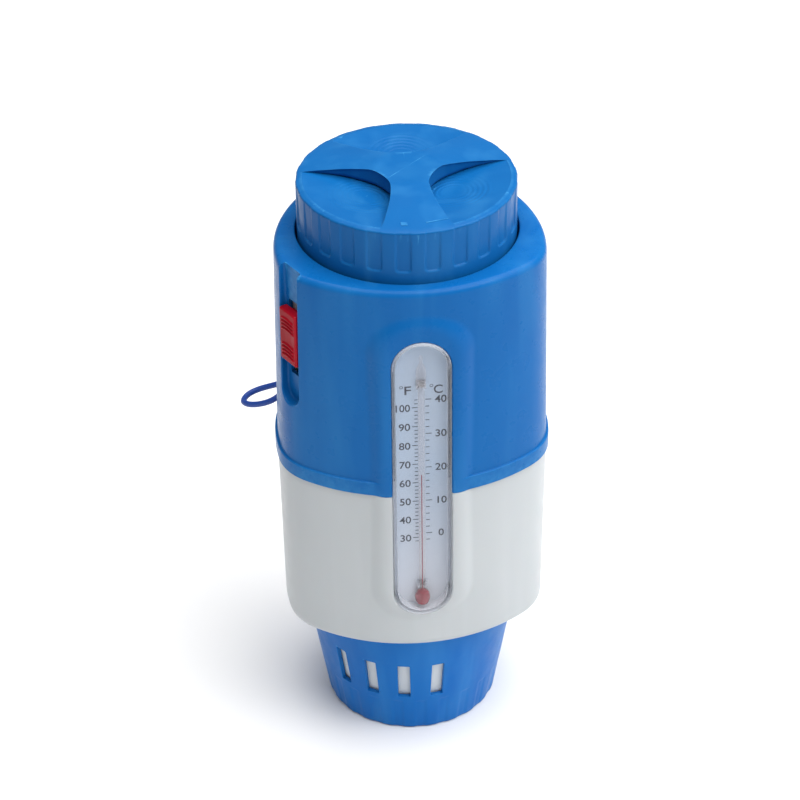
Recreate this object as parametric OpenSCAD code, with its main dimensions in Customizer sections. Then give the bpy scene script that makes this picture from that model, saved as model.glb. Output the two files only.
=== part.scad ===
// Floating chlorine dispenser: a sealed float around a tablet tube, with a screw cap,
// a slide lock for the cap, a thermometer and a dosing basket that turns on an inner cage.
// Millimetres. Z is the tube's axis, the base rests on Z = 0 and the thermometer faces -Y.

/* [Float body] */
// Height of the bottom shell's lower edge
shell_base_z = 67.6; // [66:0.2:70]
// Height of the joint between the two shells
joint_z = 161.8; // [155:0.2:170]
// Height of the top shell's plate
top_z = 275; // [272:0.5:278]
// Distance from the axis to the middle of a side, at the top edge
side_r = 60.8; // [60:0.1:62]
// Radius of curvature of the three sides
side_curve_r = 86; // [84:1:95]
// Radius of the three corners
corner_r = 26.5; // [26:0.5:28]
// Draft of the shells, in degrees
draft = 0.84; // [0.7:0.02:1]
// Wall thickness of the shells
shell_wall = 2.2; // [2:0.1:2.4]
// Height of the rim band above the joint
band_h = 7.6; // [6:0.2:9]
// How far the rim band stands out
band_out = 1.1; // [0.8:0.1:1.4]

/* [Cap] */
// Outer radius of the cap's skirt
cap_r = 52.2; // [51.8:0.1:52.4]
// Height of the cap's rim
cap_rim_z = 301.6; // [301:0.2:304]
// Height of the cap's hub above its rim
hub_rise = 5; // [4:0.5:6]
// Number of grip flutes on the cap
cap_flutes = 24; // [12:2:36]
// Lift of the cap in one turn of its thread
thread_lead = 12; // [12:1:14]

/* [Tablet tube] */
// Inner radius, for tablets 76 mm across
tube_bore_r = 38.6; // [38.4:0.1:38.8]
// Outer radius
tube_r = 41; // [40.8:0.1:41.1]
// Height of the tube's mouth
tube_top_z = 284; // [283:0.5:284]

/* [Dosing basket] */
// Outer radius at the base
basket_base_r = 43.3; // [43:0.1:43.6]
// Outer radius at the top
basket_top_r = 54.5; // [54:0.1:55]
// Height of the basket
basket_h = 66.3; // [64:0.1:66.5]
// Width of a slot
slot_w = 6.2; // [5:0.1:7]
// Height of a slot's lower end
slot_low_z = 24; // [22:0.5:26]
// Height of a slot
slot_h = 22.6; // [18:0.2:23]
// Angle between neighbouring slots
slot_pitch = 20; // [20:1:21]
// Number of slots in each of the two groups
slots_in_group = 4; // [2:1:4]

/* [Thermometer] */
// Width of the lens
lens_w = 28.2; // [28:0.1:29]
// Height of the lens
lens_h = 158.6; // [157:0.2:160]
// Height of the lens' middle
lens_z = 169; // [168:0.5:170]

/* [Lock] */
// Width of the slide button
slider_w = 13; // [12.5:0.1:13.2]
// Height of the slide button's lower edge
slider_low_z = 224.2; // [224:0.2:225]
// Height of the slide button
slider_h = 28.4; // [28:0.2:29]

/* [Hidden] */
$fn = 96;

shell_blue = "#1f6fc4";
shell_white = "#e6e7e4";
part_white = "#f2f2ee";
lock_red = "#c8202c";
gasket_grey = "#4a4d50";
steel = "#b9bcc0";
card_grey = "#d9dbe6";

// Centres of the arcs of the float's outline
side_back = side_curve_r - side_r;
corner_reach = side_curve_r - corner_r;
corner_d = (sqrt(4 * pow(corner_reach, 2) - 3 * pow(side_back, 2)) - side_back) / 2;
side_half_angle = atan2(corner_d * sin(60), side_back + corner_d * cos(60));
side_steps = 8;
corner_steps = 10;
edge_r = 5;
base_edge_r = 5;
joint_grow = (top_z - joint_z) * tan(draft);

// Well around the cap
well_r = 53.2;
well_wall = 2;
well_floor_z = 247;
well_floor_t = 2.5;
gap = 0.4;

// Tube and its threads
flange_z = well_floor_z + 1.2;
flange_t = 2.2;
flange_r = 48.8;
tube_low_z = 50;
thread_depth = 1.6;
thread_base_w = 2.6;
thread_crest_w = 1.2;
thread_bite = 0.3;
neck_thread_z = 268;
cap_thread_z = neck_thread_z + thread_lead / 4;
cap_thread_turns = 0.7;
cage_thread_z = 53;
cage_thread_depth = 1.1;

// Cap
skirt_low_z = 262;
skirt_t = 2.4;
ring_r = tube_r + 2.2;
ring_t = 2.6;
ring_low_z = 266;
cap_ceiling_z = 294;
hub_r = 15.6;
flute_r = 9;
flute_depth = 0.8;
flute_low_z = 284.8;
gasket_gap = 0.1;
cap_gasket_t = 1.9;

// Lock: everything is drawn in a frame whose X axis points out through the corner
lock_turn = 210;
channel_floor_x = 65.3;
channel_half_w = 7;
channel_low_z = 201;
slot_low = 215.5;
slot_top = 256.5;
slot_half_w = 4.2;
bolt_x = 60.7;
bolt_t = 2.2;
nose_z = 257.2;
nose_t = 4;
nose_half_w = 4;
nose_tip_x = 50.3;
lock_down = 8;
lock_up = 4;
housing_low_z = 199.5;

// Thermometer: distances from the axis, towards the front
pocket_floor = 55.2;
boss_front = 62.5;
boss_z = lens_z + 4;
lens_front = 64.3;
pocket_gap = 0.3;
pocket_w = lens_w + 2 * pocket_gap;
pocket_h = lens_h + 2 * pocket_gap;
lens_wall = 1.6;
glass_front = 59;
glass_r = 1.5;
glass_bore_r = 0.5;
spirit_gap = 0.05;
bulb_z = 97.8;
bulb_r = 2.85;
bulb_wall = 0.65;
glass_top_z = 238;
spirit_z = 169.6;
clip_heights = [103.6, 221];
clip_half_w = 2.4;
boss_steps = [[62.5, 2], [62.2, 4.5], [61.3, 7.5], [59.5, 10], [56.4, 12.5]];

// Basket and cage
wall_t = 2.35;
cage_gap = 0.5;
cage_wall = 2;
cage_neck_r = tube_r + 1.4;
cage_floor_z = 3.2;
cage_floor_t = 2.8;
basket_floor_t = 2.6;
basket_slope = (basket_top_r - basket_base_r) / basket_h;
first_slot = -50.2;
cage_shift = slot_pitch * slots_in_group;
post_r = 5.93;
post_top_z = 6.4;
hub_hole_r = 6;
screw_r = 1.5;
basket_flutes = 24;
basket_flute_r = 6;
basket_flute_tilt = 8.5;
basket_flute_h = 21;
washer_t = 1;
cage_top_z = 66;

// Tether loop at the rim: out from the axis, along the wall and up
tether_turn = 152;
cord_r = 1.5;
lug_reach = 66;
lug_half_w = 3;
tether_z = 166;
loop_half = [[66, 0.3, 166], [66, 2, 166], [66, 3.4, 166], [66.7, 5.7, 165.7], [68.3, 7.7, 164.8],
             [70.4, 8.7, 163.5], [73.8, 9, 161.4], [78, 8.9, 158.6], [82, 8.4, 156], [85.4, 7, 153.9],
             [88.1, 4.8, 152.2], [89.6, 2.4, 151.3]];
loop_tip = [[90, 0, 151]];
loop_route = concat(loop_half, loop_tip,
                    [for (i = [len(loop_half) - 1 : -1 : 0])
                        [loop_half[i].x, -loop_half[i].y, loop_half[i].z]]);

// ---- Outline of the float ----

// Unit direction at an angle measured from the front towards +X
function heading(a) = [sin(a), -cos(a)];

function arc_points(centre, r, from, to, steps) =
    [for (i = [0 : steps - 1]) centre + r * heading(from + (to - from) * i / steps)];

function side_arc(grow, a) =
    arc_points(-side_back * heading(a), side_curve_r + grow,
               a - side_half_angle, a + side_half_angle, side_steps);

function corner_arc(grow, a) =
    arc_points(corner_d * heading(a), corner_r + grow,
               a - 60 + side_half_angle, a + 60 - side_half_angle, corner_steps);

function plan_points(grow) =
    [for (a = [0, 120, 240]) each concat(side_arc(grow, a), corner_arc(grow, a + 60))];

module plan_slab(grow, z, h = 0.02) {
    translate([0, 0, z]) linear_extrude(h) polygon(plan_points(grow));
}

// Drafted block with a rounded upper edge: the top shell's outside, or its inside when inset
module top_block(inset, low_z) {
    r = edge_r - inset * 0.5;
    hull() {
        plan_slab(joint_grow - inset, low_z);
        for (t = [0 : 30 : 90])
            plan_slab(-inset - r * (1 - cos(t)), top_z - inset - r * (1 - sin(t)) - 0.02);
    }
}

// Drafted block with a rounded lower edge: the bottom shell's outside or inside
module bottom_block(inset, top) {
    r = base_edge_r - inset * 0.5;
    low_grow = joint_grow - (joint_z - shell_base_z) * tan(draft);
    hull() {
        plan_slab(joint_grow - inset, top - 0.02);
        for (t = [0 : 30 : 90])
            plan_slab(low_grow - inset - r * (1 - cos(t)), shell_base_z + inset + r * (1 - sin(t)));
    }
}

// ---- Shared shapes ----

module stadium(w, h) {
    square([w, h - w], center = true);
    for (s = [-1, 1]) translate([0, s * (h - w) / 2]) circle(d = w);
}

// Upright stadium between two distances in front of the axis
module upright(w, h, back, front, z = lens_z) {
    translate([0, -back, z]) rotate([90, 0, 0]) linear_extrude(front - back) stadium(w, h);
}

module ring(outer, inner, z, h) {
    translate([0, 0, z]) difference() {
        cylinder(r = outer, h = h);
        translate([0, 0, -1]) cylinder(r = inner, h = h + 2);
    }
}

// Pillow around the lens, drawn as one convex form
module boss(inset) {
    hull() for (step = boss_steps)
        upright(lens_w + 2 * step[1] - 2 * inset, lens_h + 2.5 * step[1] - 2 * inset,
                step[0] - inset, step[0] - inset + 0.02, boss_z, $fn = 32);
}

module above(z) { translate([-100, -100, z]) cube([200, 200, 200]); }
module below(z) { translate([-100, -100, z - 200]) cube([200, 200, 200]); }

// Joint flange that follows the outline and passes behind the thermometer pocket
module joint_plan(inset) {
    difference() {
        polygon(plan_points(joint_grow - inset));
        translate([-pocket_w / 2 - 2.2 - inset, -80])
            square([pocket_w + 4.4 + 2 * inset, 80 - pocket_floor + 2.2 + inset]);
    }
}

module joint_ring(outer, inner, z, h) {
    translate([0, 0, z]) linear_extrude(h) difference() {
        joint_plan(outer);
        joint_plan(inner);
    }
}

// One helical ridge: root and crest are radii, inward ridges have a crest below the root
function ridge_ring(root, crest, z, a) = [
    [root * cos(a), root * sin(a), z - thread_base_w / 2],
    [crest * cos(a), crest * sin(a), z - thread_crest_w / 2],
    [crest * cos(a), crest * sin(a), z + thread_crest_w / 2],
    [root * cos(a), root * sin(a), z + thread_base_w / 2]];

module ridge(root, crest, z, turns, start) {
    steps = ceil(turns * 48);
    pts = [for (i = [0 : steps])
        each ridge_ring(root, crest, z + thread_lead * turns * i / steps, start + 360 * turns * i / steps)];
    flip = crest < root;
    sides = [for (i = [0 : steps - 1], k = [0 : 3])
        let (a = 4 * i + k, b = 4 * i + (k + 1) % 4)
        flip ? [a, a + 4, b + 4, b] : [a, b, b + 4, a + 4]];
    low = flip ? [0, 1, 2, 3] : [3, 2, 1, 0];
    high = [for (k = low) 4 * steps + 3 - k];
    polyhedron(points = pts, faces = concat(sides, [low, high]), convexity = 6);
}

module double_thread(root, crest, z, turns) {
    for (start = [0, 180]) ridge(root, crest, z, turns, start);
}

// ---- Float ----

module well() {
    rotate_extrude() polygon([
        [tube_r + gap, well_floor_z - well_floor_t], [well_r + well_wall, well_floor_z - well_floor_t],
        [well_r + well_wall, top_z - 1], [well_r, top_z - 1], [well_r, well_floor_z],
        [tube_r + gap, well_floor_z]]);
}

module at_lock() { rotate([0, 0, lock_turn]) children(); }

module lock_channel() {
    at_lock() {
        translate([channel_floor_x, -channel_half_w, channel_low_z + channel_half_w])
            cube([20, 2 * channel_half_w, 100]);
        translate([channel_floor_x, 0, channel_low_z + channel_half_w]) rotate([0, 90, 0])
            cylinder(r = channel_half_w, h = 20);
        translate([channel_floor_x - 5, -slot_half_w, slot_low])
            cube([10, 2 * slot_half_w, slot_top - slot_low]);
    }
}

module lock_window(x, depth, half_w) {
    at_lock() translate([x, -half_w, nose_z - lock_down - 0.6])
        cube([depth, 2 * half_w, nose_t + lock_down + lock_up + 1.2]);
}

module tether_lug() {
    at_tether() translate([lug_reach, 0, tether_z]) rotate([90, 0, 0])
        cylinder(r = 3.3, h = 2 * lug_half_w, center = true, $fn = 48);
    at_tether() translate([lug_reach - 6, -lug_half_w, tether_z - 3.3])
        cube([6, 2 * lug_half_w, 6.6]);
}

module top_shell() {
    color(shell_blue) difference() {
        union() {
            difference() {
                top_block(0, joint_z);
                top_block(shell_wall, joint_z - 1);
                intersection() { boss(2); above(joint_z - 1); }
            }
            translate([0, 0, joint_z]) linear_extrude(band_h) difference() {
                polygon(plan_points(joint_grow + band_out));
                polygon(plan_points(joint_grow - 1));
            }
            intersection() {
                difference() { boss(0); boss(2); }
                above(joint_z);
            }
            intersection() {
                upright(pocket_w + 4, pocket_h + 4, pocket_floor - 2, boss_front);
                above(joint_z);
            }
            joint_ring(shell_wall - 0.5, shell_wall + 3, joint_z, 2);
            well();
            at_lock() translate([channel_floor_x - 2, -channel_half_w - 2.2, channel_low_z - 2])
                cube([3, 2 * channel_half_w + 4.4, top_z - channel_low_z + 1]);
            tether_lug();
        }
        upright(pocket_w, pocket_h, pocket_floor, 90);
        translate([0, 0, well_floor_z]) cylinder(r = well_r, h = 60);
        lock_channel();
        lock_window(well_r - 3, 6, nose_half_w + 0.6);
        at_tether() translate([lug_reach, 0, tether_z]) rotate([90, 0, 0])
            cylinder(r = cord_r + 0.65, h = 30, center = true, $fn = 48);
    }
}

module bottom_shell() {
    color(shell_white) difference() {
        union() {
            difference() {
                bottom_block(0, joint_z - 0.2);
                bottom_block(shell_wall, joint_z + 1);
                intersection() { boss(2); below(joint_z + 1); }
            }
            intersection() {
                difference() { boss(0); boss(2); }
                below(joint_z - 0.2);
            }
            intersection() {
                upright(pocket_w + 4, pocket_h + 4, pocket_floor - 2, boss_front);
                below(joint_z - 0.2);
            }
            joint_ring(shell_wall - 0.5, shell_wall + 3, joint_z - 4.2, 2);
        }
        upright(pocket_w, pocket_h, pocket_floor, 90);
        translate([0, 0, shell_base_z - 1]) cylinder(r = tube_r + gap, h = 10);
    }
}

module shell_gasket() {
    color(gasket_grey) joint_ring(shell_wall + 0.2, shell_wall + 2.8, joint_z - 2.2, 2.2);
}

module feed_tube() {
    color(part_white) difference() {
        union() {
            translate([0, 0, tube_low_z]) cylinder(r = tube_r, h = tube_top_z - tube_low_z);
            translate([0, 0, flange_z]) cylinder(r = flange_r, h = flange_t);
            double_thread(tube_r - thread_bite, tube_r + thread_depth, neck_thread_z, 1);
            double_thread(tube_r - thread_bite, tube_r + cage_thread_depth, cage_thread_z, 0.6);
        }
        translate([0, 0, tube_low_z - 1]) cylinder(r = tube_bore_r, h = 300);
    }
}

module neck_gasket() {
    color(gasket_grey) ring(flange_r - 0.8, tube_r + 0.6, well_floor_z, flange_z - well_floor_z);
}

// ---- Basket and cage ----

function basket_r(z) = basket_base_r + basket_slope * z;

module slot_row(shift, depth) {
    for (i = [0 : slots_in_group - 1], half = [0, 180])
        rotate([0, 0, first_slot + shift + half + slot_pitch * i])
            translate([-slot_w / 2, -60, slot_low_z]) cube([slot_w, depth, slot_h]);
}

function cage_r(z) = basket_r(z) - wall_t - cage_gap;

module inner_cage() {
    low_r = cage_r(cage_floor_z + 1.6);
    floor_top = cage_floor_z + cage_floor_t;
    color(part_white) difference() {
        union() {
            rotate_extrude() polygon([
                [hub_hole_r, cage_floor_z], [low_r - 1.6, cage_floor_z], [low_r, cage_floor_z + 1.6],
                [cage_r(cage_top_z), cage_top_z], [tube_r + gap, cage_top_z],
                [tube_r + gap, cage_top_z - 3], [cage_neck_r, cage_top_z - 3],
                [cage_neck_r, cage_top_z - 15], [cage_neck_r + 2.2, cage_top_z - 15],
                [cage_neck_r + 2.2, cage_top_z - 3], [cage_r(cage_top_z - 3) - cage_wall, cage_top_z - 3],
                [cage_r(floor_top + 1.2) - cage_wall, floor_top + 1.2],
                [low_r - cage_wall - 1.2, floor_top], [hub_hole_r, floor_top]]);
            double_thread(cage_neck_r + thread_bite, cage_neck_r - cage_thread_depth,
                          cage_thread_z + thread_lead / 4, 0.45);
        }
        slot_row(cage_shift, 30);
    }
}

module cage_gasket() {
    color(gasket_grey) ring(50, tube_r + 0.6, cage_top_z, shell_base_z - cage_top_z);
}

module dosing_basket() {
    seam_z = slot_low_z + slot_h + 1.6;
    color(shell_blue) difference() {
        rotate_extrude() polygon([
            [0, 0], [basket_base_r - 1.6, 0], [basket_r(1.6), 1.6], [basket_r(seam_z) - 0.15, seam_z],
            [basket_r(seam_z) + 0.1, seam_z + 0.3], [basket_top_r, basket_h],
            [basket_top_r - wall_t, basket_h], [basket_r(4) - wall_t, 4],
            [basket_r(4) - wall_t - 1.4, basket_floor_t], [post_r, basket_floor_t], [post_r, post_top_z],
            [screw_r + 0.05, post_top_z], [screw_r + 0.05, 1.3], [0, 1.3]]);
        slot_row(0, 30);
        for (i = [0 : basket_flutes - 1]) rotate([0, 0, 360 * i / basket_flutes])
            translate([basket_base_r + basket_flute_r - 0.7, 0, -1]) rotate([0, basket_flute_tilt, 0])
                cylinder(r = basket_flute_r, h = basket_flute_h, $fn = 48);
    }
}

module basket_washer() {
    color(steel) ring(9, screw_r + 0.1, post_top_z, washer_t);
}

module basket_screw() {
    color(steel) difference() {
        union() {
            translate([0, 0, post_top_z + washer_t]) cylinder(r = 3.4, h = 2);
            translate([0, 0, 1.5]) cylinder(r = screw_r, h = post_top_z + washer_t);
        }
        translate([-0.4, -3, post_top_z + washer_t + 1.1]) cube([0.8, 6, 2]);
    }
}

// ---- Cap ----

recess_half = [[0.245, 0], [0.27, 0.146], [0.36, 0.285], [0.48, 0.423], [0.61, 0.54], [0.715, 0.61]];
recess_end_r = 0.94;

module recess() {
    end_angle = atan2(recess_half[5].y, recess_half[5].x);
    rim_arc = [for (i = [0 : 8]) let (a = end_angle * (1 - i / 4)) recess_end_r * [cos(a), sin(a)]];
    lower_half = [for (i = [5 : -1 : 1]) [recess_half[i].x, -recess_half[i].y]];
    intersection() {
        translate([0, 0, cap_rim_z - 8]) linear_extrude(20)
            polygon(cap_r * concat(recess_half, rim_arc, lower_half));
        translate([cap_r * recess_end_r, 0, cap_rim_z - 0.2]) rotate([0, -7, 0])
            translate([-60, -50, 0]) cube([80, 100, 40]);
    }
}

module cap() {
    color(shell_blue) difference() {
        union() {
            rotate_extrude() polygon([
                [0, cap_ceiling_z], [ring_r - 4.2, cap_ceiling_z],
                [ring_r - 4.2, tube_top_z + gasket_gap + cap_gasket_t + 0.3],
                [ring_r, tube_top_z + gasket_gap + cap_gasket_t + 0.3], [ring_r, ring_low_z],
                [ring_r + ring_t, ring_low_z], [ring_r + ring_t, cap_ceiling_z],
                [cap_r - skirt_t, cap_ceiling_z], [cap_r - skirt_t, skirt_low_z], [cap_r, skirt_low_z],
                [cap_r, cap_rim_z - 1], [cap_r - 1, cap_rim_z], [hub_r, cap_rim_z + hub_rise],
                [0, cap_rim_z + hub_rise]]);
            double_thread(ring_r + thread_bite, ring_r - thread_depth, cap_thread_z, cap_thread_turns);
        }
        for (a = [90, 210, 330]) rotate([0, 0, a]) recess();
        for (i = [0 : cap_flutes - 1]) rotate([0, 0, 360 * (i + 0.5) / cap_flutes])
            translate([cap_r + flute_r - flute_depth, 0, flute_low_z]) {
                cylinder(r = flute_r, h = 30);
                sphere(r = flute_r);
            }
        at_lock() translate([cap_r - 5, -nose_half_w - 0.8, skirt_low_z - 1])
            cube([8, 2 * nose_half_w + 1.6, 5]);
    }
}

module cap_gasket() {
    color(gasket_grey) ring(ring_r - 0.4, tube_bore_r + 0.4, tube_top_z + gasket_gap, cap_gasket_t);
}

// ---- Lock ----

module lock_slider() {
    pad_x = channel_floor_x + gap;
    pad_t = 4;
    color(lock_red) at_lock() difference() {
        union() {
            translate([pad_x, -slider_w / 2, slider_low_z]) cube([pad_t, slider_w, slider_h]);
            translate([bolt_x + bolt_t, -slot_half_w + gap, slider_low_z + 2])
                cube([pad_x - bolt_x - bolt_t + 1, 2 * (slot_half_w - gap), slider_h - 4]);
            for (low = [2.8, 17.2], i = [0 : 3])
                translate([pad_x + pad_t - 0.2, -slider_w / 2 + 2, slider_low_z + low + 2 * i])
                    cube([0.9, slider_w - 4, 1.1]);
        }
        translate([bolt_x, 0, slider_low_z + slider_h / 2 + 6]) rotate([0, 90, 0])
            cylinder(r = 1.25, h = 6.4, $fn = 32);
    }
}

module lock_bolt() {
    color(part_white) at_lock() difference() {
        union() {
            translate([bolt_x, -7, slider_low_z]) cube([bolt_t, 14, nose_z + nose_t - slider_low_z]);
            translate([nose_tip_x, -nose_half_w, nose_z])
                cube([bolt_x - nose_tip_x + 1, 2 * nose_half_w, nose_t]);
        }
        translate([bolt_x - 1, 0, slider_low_z + slider_h / 2 + 6]) rotate([0, 90, 0])
            cylinder(r = 1.35, h = 6, $fn = 32);
    }
}

module lock_screw() {
    color(steel) at_lock() translate([bolt_x, 0, slider_low_z + slider_h / 2 + 6]) rotate([0, 90, 0]) {
        translate([0, 0, -1.6]) cylinder(r = 2.6, h = 1.6, $fn = 48);
        cylinder(r = 1.2, h = 6.2, $fn = 32);
    }
}

module lock_housing() {
    inner_x = 55.6;
    back_x = channel_floor_x - 2.2;
    half_w = channel_half_w + 2;
    color(part_white) difference() {
        at_lock() difference() {
            translate([inner_x, -half_w, housing_low_z])
                cube([back_x - inner_x, 2 * half_w, top_z - shell_wall - 0.2 - housing_low_z]);
            translate([inner_x + 1.6, -half_w + 1.6, housing_low_z + 1.5])
                cube([20, 2 * half_w - 3.2, 100]);
        }
        lock_window(inner_x - 3, 6, nose_half_w + 1);
    }
}

module detent_spring() {
    color(steel) at_lock() translate([0, 3, 0]) rotate([90, 0, 0]) linear_extrude(6) polygon([
        [57.2, 203], [57.6, 203], [57.7, 210], [59.4, 217], [60.2, 221], [60.2, 224], [59.3, 228],
        [57.7, 236], [57.2, 236], [58.9, 227.8], [59.7, 224], [59.7, 221.2], [59, 217.3], [57.3, 210.2]]);
}

// ---- Thermometer ----

module thermometer_lens() {
    color("white", 0.35) difference() {
        upright(lens_w, lens_h, pocket_floor + 1, lens_front);
        upright(lens_w - 2 * lens_wall, lens_h - 2 * lens_wall, pocket_floor, lens_front - lens_wall);
    }
}

module lens_gasket() {
    color(gasket_grey) difference() {
        upright(lens_w, lens_h, pocket_floor, pocket_floor + 1);
        upright(lens_w - 3.4, lens_h - 3.4, pocket_floor - 1, pocket_floor + 2);
    }
}

module scale_card() {
    color(card_grey) upright(lens_w - 3.7, lens_h - 3.8, pocket_floor, pocket_floor + 1);
}

module thermometer_tube() {
    color("white", 0.35) translate([0, -glass_front, 0]) difference() {
        union() {
            translate([0, 0, bulb_z]) cylinder(r = glass_r, h = glass_top_z - bulb_z, $fn = 32);
            translate([0, 0, bulb_z]) sphere(r = bulb_r, $fn = 32);
            translate([0, 0, glass_top_z]) sphere(r = glass_r, $fn = 32);
        }
        translate([0, 0, bulb_z]) cylinder(r = glass_bore_r, h = glass_top_z - bulb_z - 3, $fn = 32);
        translate([0, 0, bulb_z]) sphere(r = bulb_r - bulb_wall, $fn = 32);
    }
}

module thermometer_spirit() {
    color(lock_red) translate([0, -glass_front, 0]) {
        translate([0, 0, bulb_z]) sphere(r = bulb_r - bulb_wall - spirit_gap, $fn = 32);
        translate([0, 0, bulb_z]) cylinder(r = glass_bore_r - spirit_gap, h = spirit_z - bulb_z, $fn = 32);
    }
}

module tube_clips() {
    clip_back = pocket_floor + 1;
    color(part_white) for (z = clip_heights) difference() {
        translate([-clip_half_w, -glass_front - 0.6, z])
            cube([2 * clip_half_w, glass_front + 0.6 - clip_back, 3]);
        translate([0, -glass_front, z - 1]) cylinder(r = glass_r + 0.05, h = 5, $fn = 32);
    }
}

// ---- Tether ----

module at_tether() { rotate([0, 0, tether_turn]) children(); }

function unit(v) = v / norm(v);

// Ring of the cord at one point of its route, square to the route's direction
function cord_ring(i, sides) =
    let (n = len(loop_route),
         along = unit(loop_route[min(i + 1, n - 1)] - loop_route[max(i - 1, 0)]),
         side = unit(cross(along, [0, 0, 1])),
         up = cross(side, along))
    [for (k = [0 : sides - 1])
        let (a = 360 * k / sides)
        loop_route[i] + cord_r * (cos(a) * side + sin(a) * up)];

module tether_cord() {
    sides = 8;
    last = len(loop_route) - 1;
    pts = [for (i = [0 : last]) each cord_ring(i, sides)];
    walls = [for (i = [0 : last - 1], k = [0 : sides - 1])
        let (a = sides * i + k, b = sides * i + (k + 1) % sides)
        [a, a + sides, b + sides, b]];
    low = [for (k = [0 : sides - 1]) k];
    high = [for (k = [sides - 1 : -1 : 0]) sides * last + k];
    color(shell_blue) at_tether()
        polyhedron(points = pts, faces = concat(walls, [low, high]), convexity = 6);
}

module tether_crimp() {
    color(steel) at_tether() translate([lug_reach, 0, tether_z]) rotate([90, 0, 0]) difference() {
        cylinder(r = cord_r + 0.55, h = 2 * lug_half_w, center = true, $fn = 48);
        cylinder(r = cord_r + 0.05, h = 2 * lug_half_w + 2, center = true, $fn = 48);
    }
}

top_shell();
bottom_shell();
shell_gasket();
feed_tube();
neck_gasket();
inner_cage();
cage_gasket();
dosing_basket();
basket_washer();
basket_screw();
cap();
cap_gasket();
lock_slider();
lock_bolt();
lock_screw();
lock_housing();
detent_spring();
thermometer_lens();
lens_gasket();
scale_card();
thermometer_tube();
thermometer_spirit();
tube_clips();
tether_cord();
tether_crimp();
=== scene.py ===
"""Looks of the floating chlorine dispenser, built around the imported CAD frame.

Lengths in this script are millimetres in the row frame (Z up the tube's axis, thermometer towards -Y)
and become metres when a mesh is made. Angles of headings are degrees from the front towards +X.
"""

import math

import bmesh
import bpy
import numpy as np
from mathutils import Matrix, Quaternion, Vector


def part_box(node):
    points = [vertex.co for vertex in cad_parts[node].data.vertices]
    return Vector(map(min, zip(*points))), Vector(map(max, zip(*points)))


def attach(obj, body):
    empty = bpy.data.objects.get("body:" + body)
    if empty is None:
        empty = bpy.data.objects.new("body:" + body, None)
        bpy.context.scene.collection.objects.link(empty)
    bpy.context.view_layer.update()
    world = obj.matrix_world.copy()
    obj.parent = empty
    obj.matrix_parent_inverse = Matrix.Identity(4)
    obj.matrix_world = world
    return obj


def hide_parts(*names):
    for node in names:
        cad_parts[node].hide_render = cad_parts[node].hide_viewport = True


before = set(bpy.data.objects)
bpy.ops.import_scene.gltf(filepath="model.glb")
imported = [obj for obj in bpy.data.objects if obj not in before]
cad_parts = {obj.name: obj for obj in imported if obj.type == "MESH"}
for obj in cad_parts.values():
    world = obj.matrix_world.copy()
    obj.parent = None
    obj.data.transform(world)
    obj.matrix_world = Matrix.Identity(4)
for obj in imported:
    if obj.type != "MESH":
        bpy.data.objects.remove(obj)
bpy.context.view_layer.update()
MM = 0.001


def node_box(node):
    """Lowest and highest corner of a CAD node, in millimetres."""
    low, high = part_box(node)
    return np.array(low) / MM, np.array(high) / MM


# ---- Driving sizes, taken from the frame where it has them ----

TOP_LOW, TOP_HIGH = node_box("top_shell")
BOTTOM_LOW, _ = node_box("bottom_shell")
BASKET_LOW, BASKET_HIGH = node_box("dosing_basket")
LENS_LOW, LENS_HIGH = node_box("thermometer_lens")
SLIDER_LOW, SLIDER_HIGH = node_box("lock_slider")

JOINT_Z = TOP_LOW[2]
TOP_Z = TOP_HIGH[2]
BASE_Z = BOTTOM_LOW[2]
SIDE_R = 60.8
SIDE_CURVE_R = 86.0
CORNER_R = 26.5
DRAFT = math.tan(math.radians(0.84))
WALL = 2.2
BAND_H = 7.6
BAND_OUT = 1.1
SIDE_BACK = SIDE_CURVE_R - SIDE_R
CORNER_REACH = SIDE_CURVE_R - CORNER_R
CORNER_D = (math.sqrt(4 * CORNER_REACH**2 - 3 * SIDE_BACK**2) - SIDE_BACK) / 2
JOINT_GROW = (TOP_Z - JOINT_Z) * DRAFT
BASE_GROW = JOINT_GROW - (JOINT_Z - BASE_Z) * DRAFT
WELL_R = 53.2
WELL_FLOOR_Z = 247.0
TUBE_HOLE_R = 41.4
LENS_W = LENS_HIGH[0] - LENS_LOW[0]
LENS_H = LENS_HIGH[2] - LENS_LOW[2]
LENS_Z = (LENS_HIGH[2] + LENS_LOW[2]) / 2
LENS_FRONT = -LENS_LOW[1]
BOSS_FRONT = 62.5
BOSS_Z = LENS_Z + 4.0
POCKET_FLOOR = 55.2
POCKET_GAP = 0.2
LOCK_HEADING = -60.0
CHANNEL_X = 65.3
CHANNEL_HALF = 7.0
CHANNEL_LOW_Z = 201.0
LIP_TURNS = np.radians([0, 22, 45, 68, 90])
CAP_R = 52.2
CAP_RIM_Z = 301.6
HUB_RISE = 5.0
HUB_R = 15.6


# ---- Camera, at the photograph's viewing angle ----

CAMERA_AZIMUTH = -5.6
CAMERA_ELEVATION = 34.26
CAMERA_DISTANCE = 1414.8
CAMERA_TARGET_Z = 174.6
CAMERA_LENS = 129.1
CAMERA_ROLL = -0.6
CAMERA_SHIFT_X = -0.011


def heading(angle, elevation=0.0):
    """Unit vector at a heading and an elevation."""
    a, e = math.radians(angle), math.radians(elevation)
    return Vector((math.sin(a) * math.cos(e), -math.cos(a) * math.cos(e), math.sin(e)))


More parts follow.
